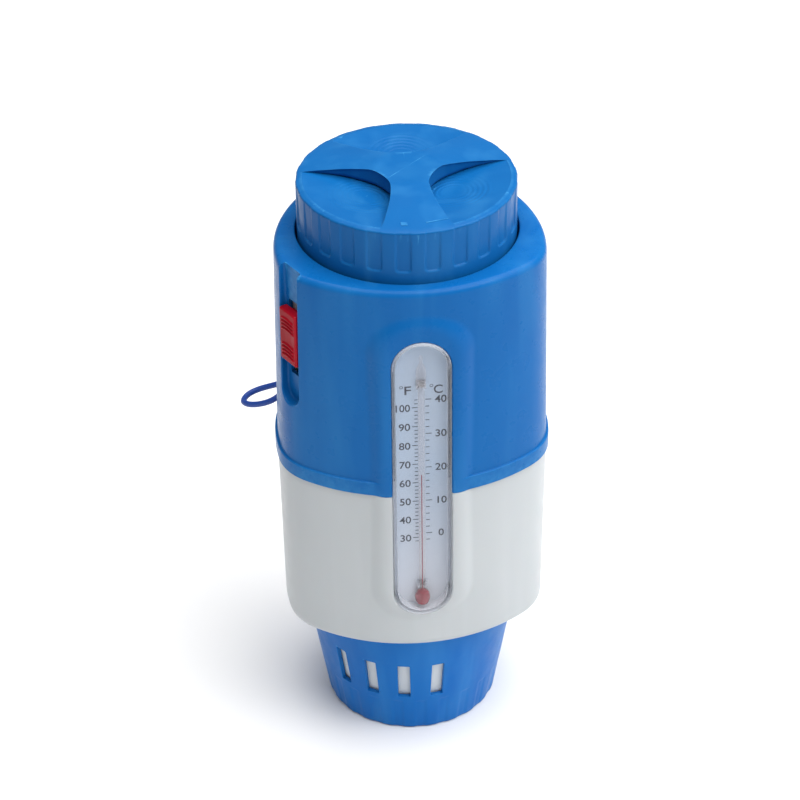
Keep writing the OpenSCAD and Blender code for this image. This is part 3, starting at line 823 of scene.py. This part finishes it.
def build_basket():
    post_r, post_top, floor_t, groove_r = 5.93, 6.4, 2.6, 30.0
    rows = [basket_row(3, 0), basket_row(groove_r, 0), basket_row(groove_r + 0.3, 0.5),
            basket_row(groove_r + 2, 0.5), basket_row(groove_r + 2.3, 0)]
    edge = 1.5
    for t in np.radians([90, 60, 30, 0]):
        r = basket_outer(edge) - BASKET_SLOPE * edge * math.sin(t) - edge * (1 - math.cos(t))
        rows.append(basket_row(r, edge * (1 - math.sin(t))))
    levels = [*steps_between(3, 19.6, 2), 20.0, 20.3, 20.6, 20.9, 21.2,
              *steps_between(22, SEAM_Z - 0.5, 2.5), SEAM_Z - 0.05, SEAM_Z + 0.2,
              *steps_between(SEAM_Z + 2, BASKET_H - 0.5, 2.5)]
    for z in levels:
        rows.append(basket_row(basket_outer(z), z))
    top_r = basket_r(BASKET_H)
    rows += [basket_row(top_r - 0.3, BASKET_H), basket_row(top_r - BASKET_WALL + 0.3, BASKET_H)]
    for z in steps_between(BASKET_H - 0.4, 5, 4):
        rows.append(basket_row(basket_r(z) - BASKET_WALL, z))
    foot_r = basket_r(4) - BASKET_WALL
    rows += [basket_row(r, z) for r, z in (
        (foot_r - 0.6, 3.2), (foot_r - 1.6, floor_t), (post_r + 0.6, floor_t), (post_r, floor_t + 0.6),
        (post_r, post_top - 0.3), (post_r - 0.3, post_top), (1.0, post_top))]
    basket = fix_normals(loft("basket_body", rows, poles=True))
    cut(basket, *[slot_cutter(angle) for angle in SLOT_HEADINGS])
    return smooth(basket, 34)


basket = build_basket()


# ---- Lock slider ----

SLIDER_FACE = 69.7
SLIDER_T = 4.0
SLIDER_HALF = CHANNEL_HALF - 0.5
SLIDER_EDGE = 0.9
SLIDER_H = SLIDER_HIGH[2] - SLIDER_LOW[2]
SLIDER_LOW_Z = SLIDER_LOW[2]
NECK_HALF = 3.8
NECK_IN = 2.35
RIB_HEIGHTS = [low + 1.0 + 2 * i for low in (2.8, 17.2) for i in range(4)]
RIB_H = 0.7
RIB_BOW = 1.3
RIB_END = 1.4
DIP = 0.35
DIP_LENGTH = 5.5


def slider_row(h):
    """Outline of the pad at one height above its foot: rounded edges, bowed ribs, a dished middle."""
    edge, back_x = SLIDER_EDGE, SLIDER_FACE - SLIDER_T
    inset = edge - math.sqrt(max(edge**2 - max(edge - min(h, SLIDER_H - h), 0) ** 2, 0))
    side = SLIDER_HALF - inset
    y = np.concatenate([np.linspace(-side, -side + edge, 5)[:-1],
                        np.linspace(-side + edge, side - edge, 41),
                        np.linspace(side - edge, side, 5)[1:]])
    from_side = SLIDER_HALF - np.abs(y)
    drop = edge - np.sqrt(np.maximum(edge**2 - np.maximum(np.abs(y) - side + edge, 0) ** 2, 0))
    bowed = h + RIB_BOW * (y / SLIDER_HALF) ** 2
    rib = sum(0.5 + 0.5 * np.cos(np.minimum(np.abs(bowed - c), 1.0) * math.pi) for c in RIB_HEIGHTS)
    proud = RIB_H * np.minimum(rib, 1) * np.clip((from_side - RIB_END) / 0.7, 0, 1)
    dip = DIP * np.exp(-((h - SLIDER_H / 2) / DIP_LENGTH) ** 2) * np.clip(from_side / 4, 0, 1)
    back_y = np.linspace(side, -side, 12)
    out = np.concatenate([SLIDER_FACE - drop - inset + proud - dip, np.full(12, back_x + 0.001)])
    local = np.column_stack([out, np.concatenate([y, back_y]), np.full(len(out), SLIDER_LOW_Z + h)])
    return placed(local, LOCK_HEADING)


def build_slider():
    rows = [slider_row(h) for h in steps_between(0, SLIDER_H, 0.2)]
    slider = fix_normals(loft("slider_body", rows, poles=True))
    neck = rounded_box("neck", (CHANNEL_X - NECK_IN, -NECK_HALF, SLIDER_LOW_Z + 2),
                       (SLIDER_FACE - SLIDER_T + 0.6, NECK_HALF, SLIDER_LOW_Z + SLIDER_H - 2), 0.3)
    cut(slider, turned(neck, LOCK_HEADING), operation="UNION")
    return smooth(slider, 40)


slider = build_slider()


# ---- Thermometer ----

LENS_BACK = POCKET_FLOOR + 1.0
LENS_WALL = 1.6
GLASS_DEPTH = 59.0
CARD_FRONT = POCKET_FLOOR + 1.0
CARD_IN = 1.5
PRINT_T = 0.03
ZERO_C_Z = 134.6
MM_PER_C = 1.957
THIRTY_F_Z = 132.2
MM_PER_F = 1.09
F_TICK_X = -1.4
C_TICK_X = 2.3
LETTER_Z = 218.5


def build_lens():
    edge, inner_edge = 2.2, 1.0

    def row(offset, depth):
        return on_front(stadium(LENS_W, LENS_H, offset), depth)

    rows = [row(-LENS_W / 2 + 1.0, LENS_FRONT), row(-LENS_W / 4, LENS_FRONT)]
    for t in np.radians([90, 72, 54, 36, 18, 0]):
        rows.append(row(-edge * (1 - math.cos(t)), LENS_FRONT - edge + edge * math.sin(t)))
    rows += [row(0, LENS_BACK + 3), row(0, LENS_BACK), row(-LENS_WALL, LENS_BACK),
             row(-LENS_WALL, LENS_BACK + 3)]
    inner_front = LENS_FRONT - LENS_WALL
    for t in np.radians([0, 30, 60, 90]):
        rows.append(row(-LENS_WALL - inner_edge * (1 - math.cos(t)),
                        inner_front - inner_edge * (1 - math.sin(t))))
    rows.append(row(-LENS_W / 2 + 1.0, inner_front))
    return smooth(fix_normals(loft("lens_cover", rows, poles=True)), 40)


def build_card():
    def row(offset, depth):
        return on_front(stadium(LENS_W - 2 * CARD_IN, LENS_H - 2 * CARD_IN, offset), depth)

    rows = [row(-3, POCKET_FLOOR + 0.02), row(-0.2, POCKET_FLOOR + 0.02), row(0, POCKET_FLOOR + 0.2),
            row(0, CARD_FRONT - 0.2), row(-0.2, CARD_FRONT), row(-3, CARD_FRONT)]
    return smooth(fix_normals(loft("dial_card", rows, poles=True)), 40)


def printed(text, x, z, height, align="CENTER", width=1.0):
    """Generic number or unit, printed flat on the card with its middle at height z."""
    curve = bpy.data.curves.new("print_" + text, "FONT")
    curve.body = text
    curve.size = height * 1.38 * MM
    curve.align_x = align
    curve.extrude = PRINT_T * MM
    curve.offset = 0.07 * MM
    obj = new_object("print", curve)
    obj.scale = (width, 1, 1)
    obj.rotation_euler = (math.pi / 2, 0, 0)
    obj.location = (x * MM, -(CARD_FRONT + PRINT_T) * MM, (z - height / 2) * MM)
    bpy.context.view_layer.update()
    bpy.ops.object.select_all(action="DESELECT")
    obj.select_set(True)
    bpy.context.view_layer.objects.active = obj
    bpy.ops.object.convert(target="MESH")
    bpy.ops.object.transform_apply(location=True, rotation=True, scale=True)
    return bpy.context.view_layer.objects.active


def tick(x_from, x_to, z, width=0.42):
    return rounded_box("tick", (x_from, -CARD_FRONT - 2 * PRINT_T, z - width / 2),
                       (x_to, -CARD_FRONT, z + width / 2), 0.02, 1)


def degree_ring(x, z):
    inner, outer = 0.55, 0.85
    profile = [(inner, -PRINT_T), (outer, -PRINT_T), (outer, PRINT_T), (inner, PRINT_T)]
    mark = lathe("degree", profile, around=24, closed=True)
    mark.data.transform(Matrix.Translation(Vector((x, -CARD_FRONT - PRINT_T, z)) * MM)
                        @ Matrix.Rotation(math.pi / 2, 4, "X"))
    return mark


def build_print():
    parts = []
    for f in range(28, 106, 2):
        z = THIRTY_F_Z + (f - 30) * MM_PER_F
        parts.append(tick(F_TICK_X - (2.7 if f % 10 == 0 else 1.55), F_TICK_X, z))
        if f % 10 == 0:
            parts.append(printed(str(f), -4.9, z, 4.1, "RIGHT", 1.0 if f < 100 else 0.93))
    for c in range(-2, 42, 2):
        z = ZERO_C_Z + c * MM_PER_C
        parts.append(tick(C_TICK_X, C_TICK_X + (2.9 if c % 10 == 0 else 1.8), z))
        if c % 10 == 0:
            parts.append(printed(str(c), 9.6, z, 4.1))
    parts += [printed("F", -6.2, LETTER_Z, 4.9, width=1.2), degree_ring(-9.1, LETTER_Z + 1.8),
              printed("C", 8.4, LETTER_Z, 4.8), degree_ring(5.2, LETTER_Z + 2)]
    return join("dial_print", parts)


def flat_lathe(name, profile, depth, around=40):
    """Turned shape on the stem's axis, no deeper than depth from front to back."""
    t = np.linspace(0, 2 * math.pi, around, endpoint=False)
    rows = [np.stack([r * np.cos(t), -GLASS_DEPTH + min(r, depth) * np.sin(t), np.full(around, z)], 1)
            for r, z in profile]
    return fix_normals(loft(name, rows, poles=True))


def build_glass():
    """Glass stem with a flattened bulb at its foot and a sealed blob above."""
    bulb = [(1.2, 93.5), (2.4, 94.0), (3.3, 95.2), (3.85, 97.5), (3.6, 99.7), (2.8, 101.3), (1.9, 102.4)]
    stem = [(1.5, 103.6), (1.4, 105.4), (1.55, 107), (1.6, 109), (1.6, 160), (1.6, 219), (1.65, 222.2)]
    blob = [(2.15, 223.8), (2.4, 226.6), (2.4, 229.6), (2.15, 232), (1.4, 234)]
    tip = [(0.75, 235.2), (0.65, 236.4), (0.85, 237.6), (0.9, 238.7), (0.5, 239.3)]
    return smooth(flat_lathe("glass_stem", catmull_rom(bulb + stem + blob + tip, 4), 2.7), 60)


def build_spirit():
    """Liquid in the bulb, with a thin column up the stem."""
    bulb = [(1.1, 93.7), (2.25, 94.2), (3.15, 95.4), (3.7, 97.5), (3.45, 99.6), (2.65, 101.1), (1.4, 102)]
    column = [(0.5, 102.8), (0.3, 104), (0.22, 112), (0.22, 140), (0.22, 169), (0.16, 169.6)]
    return smooth(flat_lathe("spirit_column", catmull_rom(bulb + column, 4), 2.5, 24), 60)


lens = build_lens()
card = build_card()
card_print = build_print()
glass = build_glass()
spirit = build_spirit()


# ---- Materials ----


def linear(r, g, b):
    """Display colour, 0 to 255, as a linear colour."""
    shares = [c / 255 for c in (r, g, b)]
    return tuple(c / 12.92 if c <= 0.0404 else ((c + 0.055) / 1.055) ** 2.4 for c in shares) + (1.0,)


class Nodes:
    """Short ways to add shader nodes to a material."""

    def __init__(self, name):
        self.material = bpy.data.materials.new(name)
        self.material.use_nodes = True
        self.tree = self.material.node_tree
        self.tree.nodes.clear()
        self.output = self.add("ShaderNodeOutputMaterial")
        self.place = self.add("ShaderNodeTexCoord").outputs["Object"]

    def add(self, kind, **settings):
        node = self.tree.nodes.new(kind)
        for key, value in settings.items():
            setattr(node, key, value)
        return node

    def link(self, source, target):
        self.tree.links.new(source, target)

    def feed(self, socket, value):
        """Sets a socket to a constant, or links another node's output to it."""
        if isinstance(value, (tuple, float, int)):
            socket.default_value = value
        else:
            self.link(value, socket)

    def math(self, operation, first, second, use_clamp=False):
        node = self.add("ShaderNodeMath", operation=operation, use_clamp=use_clamp)
        self.feed(node.inputs[0], first)
        self.feed(node.inputs[1], second)
        return node.outputs[0]

    def noise(self, scale, detail=2.0, stretch=(1, 1, 1), distortion=0.0):
        """Noise value, with the scale in features per metre."""
        mapping = self.add("ShaderNodeMapping")
        mapping.inputs["Scale"].default_value = stretch
        self.link(self.place, mapping.inputs["Vector"])
        node = self.add("ShaderNodeTexNoise")
        for key, number in (("Scale", scale), ("Detail", detail), ("Distortion", distortion)):
            node.inputs[key].default_value = number
        self.link(mapping.outputs[0], node.inputs["Vector"])
        return node.outputs["Fac"]

    def spread(self, value, low, high, start=0.3, end=0.7):
        node = self.add("ShaderNodeMapRange")
        for key, number in (("From Min", start), ("From Max", end), ("To Min", low), ("To Max", high)):
            node.inputs[key].default_value = number
        self.link(value, node.inputs["Value"])
        return node.outputs["Result"]

    def mix(self, amount, first, second):
        node = self.add("ShaderNodeMix", data_type="RGBA")
        for index, value in ((0, amount), (6, first), (7, second)):
            self.feed(node.inputs[index], value)
        return node.outputs[2]

    def bump(self, height, strength, distance, under=None):
        node = self.add("ShaderNodeBump")
        node.inputs["Strength"].default_value = strength
        node.inputs["Distance"].default_value = distance
        self.link(height, node.inputs["Height"])
        if under is not None:
            self.link(under, node.inputs["Normal"])
        return node.outputs["Normal"]

    def principled(self, **values):
        node = self.add("ShaderNodeBsdfPrincipled")
        for key, value in values.items():
            self.feed(node.inputs[key.replace("_", " ")], value)
        return node.outputs[0]

    def finish(self, shader):
        self.link(shader, self.output.inputs["Surface"])
        return self.material

    def edges(self):
        """Where the surface is sharply convex, from 0 to 1."""
        return self.spread(self.add("ShaderNodeNewGeometry").outputs["Pointiness"], 0.0, 1.0, 0.52, 0.6)


MARKS = 0.15


def moulded(name, colour, deep, worn, rough=(0.24, 0.38), grain=0.05, coat=0.03, specular=0.1,
            subsurface=0.0):
    """Injection-moulded plastic: flow variation, fine grain, scuffs and paler edges."""
    n = Nodes(name)
    clouds = n.noise(22, 3, (1, 1, 0.6))
    streaks = n.noise(60, 2, (1, 1, 0.12), 0.4)
    tone = n.mix(n.spread(clouds, 0.0, 1.0, 0.25, 0.75), colour, deep)
    tone = n.mix(n.spread(streaks, 0.0, 0.22, 0.45, 0.7), tone, worn)
    tone = n.mix(n.spread(n.noise(5200, 2), 0.0, 0.06, 0.45, 0.75), tone, deep)
    scuffs = n.spread(n.noise(900, 3, (1, 0.08, 0.3), 1.2), 0.0, 1.0, 0.66, 0.72)
    wear = n.math("MULTIPLY", n.edges(), n.spread(n.noise(260, 3), 0.15, 1.0))
    tone = n.mix(wear, tone, worn)
    tone = n.mix(n.spread(scuffs, 0.0, 0.12 * MARKS, 0, 1), tone, worn)
    roughness = n.math("ADD", n.spread(n.noise(140, 4), *rough), n.spread(scuffs, 0.0, 0.18 * MARKS, 0, 1))
    normal = n.bump(n.noise(330, 2), 0.06, 0.0004)
    normal = n.bump(n.noise(4200, 2), grain, 0.00008, normal)
    return n.finish(n.principled(
        Base_Color=tone, Roughness=roughness, Normal=normal, Coat_Weight=coat, Coat_Roughness=0.12,
        Specular_IOR_Level=specular, Subsurface_Weight=subsurface, Subsurface_Scale=0.004))


def rubber(name, colour, deep):
    n = Nodes(name)
    tone = n.mix(n.spread(n.noise(700, 4), 0, 1), colour, deep)
    return n.finish(n.principled(Base_Color=tone, Roughness=n.spread(n.noise(300, 3), 0.55, 0.8),
                                 Normal=n.bump(n.noise(1800, 3), 0.3, 0.0001)))


def brushed_steel(name):
    n = Nodes(name)
    brush = n.noise(2600, 2, (1, 1, 0.05))
    tone = n.mix(n.spread(brush, 0, 1), linear(150, 152, 156), linear(206, 208, 212))
    return n.finish(n.principled(Base_Color=tone, Metallic=1.0, Roughness=n.spread(brush, 0.22, 0.42),
                                 Normal=n.bump(brush, 0.2, 0.00005)))


def clear_plastic(name, tint, body, amount=(0.05, 0.5), side=0.0):
    """Clear sheet: mostly see-through, with gloss that grows at grazing angles and faint haze. Where the
    sheet turns away from the front or the back, its walls are made opaque and pale: painted light standing
    in for the light the clear wall carries."""
    n = Nodes(name)
    facing = n.add("ShaderNodeLayerWeight")
    facing.inputs["Blend"].default_value = 0.32
    haze = n.spread(n.noise(420, 4, distortion=0.6), 0.0, 0.03, 0.4, 0.8)
    solid = n.math("ADD", n.spread(facing.outputs["Facing"], *amount, 0.0, 1.0), haze, use_clamp=True)
    normal_parts = n.add("ShaderNodeSeparateXYZ")
    n.link(n.add("ShaderNodeNewGeometry").outputs["Normal"], normal_parts.inputs[0])
    frontal = n.math("ABSOLUTE", normal_parts.outputs["Y"], 0.0)
    # Painted light: where the normal turns away from the front or back, the sheet is made opaque and pale,
    # standing in for the light that a clear wall carries.
    painted_light_walls = n.math("MAXIMUM", solid, n.spread(frontal, side, 0.0, 0.1, 0.7))
    gloss = n.principled(Base_Color=n.mix(n.spread(n.noise(80, 2), 0, 1), *body),
                         Roughness=n.spread(n.noise(500, 3), 0.05, 0.12), Specular_IOR_Level=0.8,
                         Normal=n.bump(n.noise(160, 2), 0.08, 0.0004), Coat_Weight=0.6, Coat_Roughness=0.04)
    clear = n.add("ShaderNodeBsdfTransparent")
    clear.inputs["Color"].default_value = tint
    blend = n.add("ShaderNodeMixShader")
    for socket, source in zip(blend.inputs, (painted_light_walls, clear.outputs[0], gloss)):
        n.link(source, socket)
    return n.finish(blend.outputs[0])


def paper_card(name):
    n = Nodes(name)
    fibres = n.noise(1500, 5, (1, 1, 0.5), 0.8)
    # Painted shade and painted reflection: the blue-grey tone, partly the card's own colour, stands in for
    # the boss's shade and the blue shell's reflection in the cover.
    tone = n.mix(n.spread(fibres, 0, 1), linear(162, 179, 199), linear(170, 186, 204))
    tone = n.mix(n.spread(n.noise(35, 3), 0, 0.4), tone, linear(178, 188, 202))
    # Painted shade: the card turns paler towards its foot, below the boss's shade.
    height = n.add("ShaderNodeSeparateXYZ")
    n.link(n.place, height.inputs[0])
    tone = n.mix(n.spread(height.outputs["Z"], 0.0, 1.0, 0.17, 0.09), tone, linear(200, 202, 208))
    return n.finish(n.principled(Base_Color=tone, Roughness=n.spread(fibres, 0.45, 0.62),
                                 Normal=n.bump(fibres, 0.15, 0.00006)))


def printing_ink(name):
    n = Nodes(name)
    tone = n.mix(n.spread(n.noise(2400, 4), 0, 1), linear(24, 30, 46), linear(42, 48, 66))
    return n.finish(n.principled(Base_Color=tone, Roughness=n.spread(n.noise(900, 2), 0.4, 0.6),
                                 Normal=n.bump(n.noise(3000, 2), 0.2, 0.00004)))


def red_spirit(name):
    n = Nodes(name)
    tone = n.mix(n.spread(n.noise(650, 3), 0, 1), linear(122, 0, 22), linear(146, 2, 36))
    return n.finish(n.principled(Base_Color=tone, Roughness=n.spread(n.noise(300, 2), 0.2, 0.32),
                                 Coat_Weight=0.1, Specular_IOR_Level=0.1,
                                 Normal=n.bump(n.noise(500, 2), 0.1, 0.0002)))


def cord_sheath(name):
    """Smooth twisted cord: fine lay lines round the strand."""
    n = Nodes(name)
    wave = n.add("ShaderNodeTexWave", wave_type="BANDS", bands_direction="DIAGONAL")
    wave.inputs["Scale"].default_value = 620
    wave.inputs["Distortion"].default_value = 1.5
    n.link(n.place, wave.inputs["Vector"])
    tone = n.mix(n.spread(wave.outputs["Fac"], 0, 1, 0, 1), linear(8, 56, 140), linear(16, 72, 164))
    return n.finish(n.principled(Base_Color=tone, Roughness=n.spread(n.noise(900, 2), 0.42, 0.6),
                                 Normal=n.bump(wave.outputs["Fac"], 0.25, 0.00012)))


BLUE = moulded("blue_plastic", linear(12, 98, 166), linear(8, 90, 158), linear(56, 134, 190))
CAP_BLUE = moulded("cap_plastic", linear(13, 96, 160), linear(10, 88, 152), linear(58, 134, 188),
                   rough=(0.3, 0.44), grain=0.1)
BASKET_BLUE = moulded("basket_plastic", linear(12, 106, 184), linear(8, 97, 176), linear(66, 146, 208),
                      rough=(0.3, 0.44), grain=0.08)
SHELL_WHITE = moulded("white_plastic", linear(184, 189, 192), linear(178, 183, 186), linear(196, 200, 203),
                      rough=(0.28, 0.42), specular=0.3, subsurface=0.05)
PART_WHITE = moulded("inner_white_plastic", linear(214, 219, 221), linear(206, 211, 213),
                     linear(230, 232, 233), rough=(0.35, 0.5), coat=0.0, specular=0.3)
RED = moulded("red_plastic", linear(170, 6, 30), linear(148, 4, 24), linear(188, 36, 56), rough=(0.3, 0.45))
GASKET = rubber("gasket_rubber", linear(60, 62, 66), linear(44, 46, 50))
SILICONE = rubber("clear_silicone", linear(222, 228, 238), linear(208, 215, 228))
STEEL = brushed_steel("stainless_steel")
# The cover's side walls get painted light (side=0.72): opaque and pale in place of the light the clear wall
# carries.
CLEAR = clear_plastic("clear_cover", (0.985, 0.99, 1, 1), (linear(240, 242, 246), linear(230, 234, 240)),
                      (0.0, 0.2), side=0.72)
GLASS = clear_plastic("milky_glass", (0.99, 0.975, 0.97, 1), (linear(226, 222, 224), linear(212, 208, 212)),
                      (0.02, 0.35))
CLIP_CLEAR = clear_plastic("clip_plastic", (0.985, 0.985, 0.99, 1),
                           (linear(222, 224, 230), linear(208, 212, 220)), (0.3, 0.7))
CARD = paper_card("card_stock")
INK = printing_ink("dial_ink")
SPIRIT = red_spirit("red_spirit_dye")
CORD = cord_sheath("cord_strand")


def dress(obj, material):
    obj.data.materials.clear()
    obj.data.materials.append(material)
    return obj


PIECES = [(top_shell, "float", "blue", BLUE, "top_shell"),
          (bottom_shell, "float", "shell_white", SHELL_WHITE, "bottom_shell"),
          (cap, "cap", "blue", CAP_BLUE, "cap"),
          (basket, "basket", "blue", BASKET_BLUE, "dosing_basket"),
          (slider, "lock", "red", RED, "lock_slider"),
          (lens, "float", "clear", CLEAR, "thermometer_lens"),
          (card, "float", "card", CARD, "scale_card"),
          (glass, "float", "glass", GLASS, "thermometer_tube"),
          (spirit, "float", "spirit", SPIRIT, "thermometer_spirit"),
          (tether, "float", "cord", CORD, "tether_cord")]
for obj, body, slot, material, node in PIECES:
    ride(dress(obj, material), body, slot, node)
ride(dress(card_print, INK), "float", "card")

CAD_FINISHES = {"shell_gasket": GASKET, "neck_gasket": GASKET, "cage_gasket": GASKET, "cap_gasket": GASKET,
                "lens_gasket": SILICONE, "feed_tube": PART_WHITE, "inner_cage": PART_WHITE,
                "lock_housing": PART_WHITE, "lock_bolt": PART_WHITE, "tube_clips": CLIP_CLEAR,
                "basket_washer": STEEL, "basket_screw": STEEL, "lock_screw": STEEL, "detent_spring": STEEL,
                "tether_crimp": STEEL}
for node, material in CAD_FINISHES.items():
    dress(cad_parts[node], material)


# ---- Floor and light ----


def build_floor():
    floor = mesh_object("floor", [(-4000, -4000, 0), (4000, -4000, 0), (4000, 4000, 0), (-4000, 4000, 0)],
                        [(0, 1, 2, 3)])
    n = Nodes("studio_floor")
    tone = n.mix(n.spread(n.noise(3, 2), 0, 1), (0.86, 0.86, 0.86, 1), (0.84, 0.84, 0.84, 1))
    dress(floor, n.finish(n.principled(Base_Color=tone, Roughness=0.8)))


LIGHT_TARGET = 0.17


def area_light(name, angle, elevation, distance, size, power):
    data = bpy.data.lights.new(name, "AREA")
    data.shape = "RECTANGLE"
    data.size, data.size_y = size
    data.energy = power
    light = bpy.data.objects.new(name, data)
    bpy.context.scene.collection.objects.link(light)
    towards = heading(angle, elevation)
    light.location = Vector((0, 0, LIGHT_TARGET)) + towards * distance
    light.rotation_euler = (-towards).to_track_quat("-Z", "Y").to_euler()


def build_light():
    world = bpy.data.worlds.new("studio")
    world.use_nodes = True
    backdrop = world.node_tree.nodes["Background"]
    backdrop.inputs["Color"].default_value = (1, 1, 1, 1)
    backdrop.inputs["Strength"].default_value = 0.26
    bpy.context.scene.world = world
    area_light("top", 80, 79, 2.6, (3.4, 3.4), 132)
    area_light("fill", 36, 50, 2.4, (1.6, 1.6), 17)
    area_light("key", 72, 28, 2.0, (1.0, 1.6), 10)
    bpy.context.scene.view_settings.view_transform = "Standard"


build_floor()
build_light()
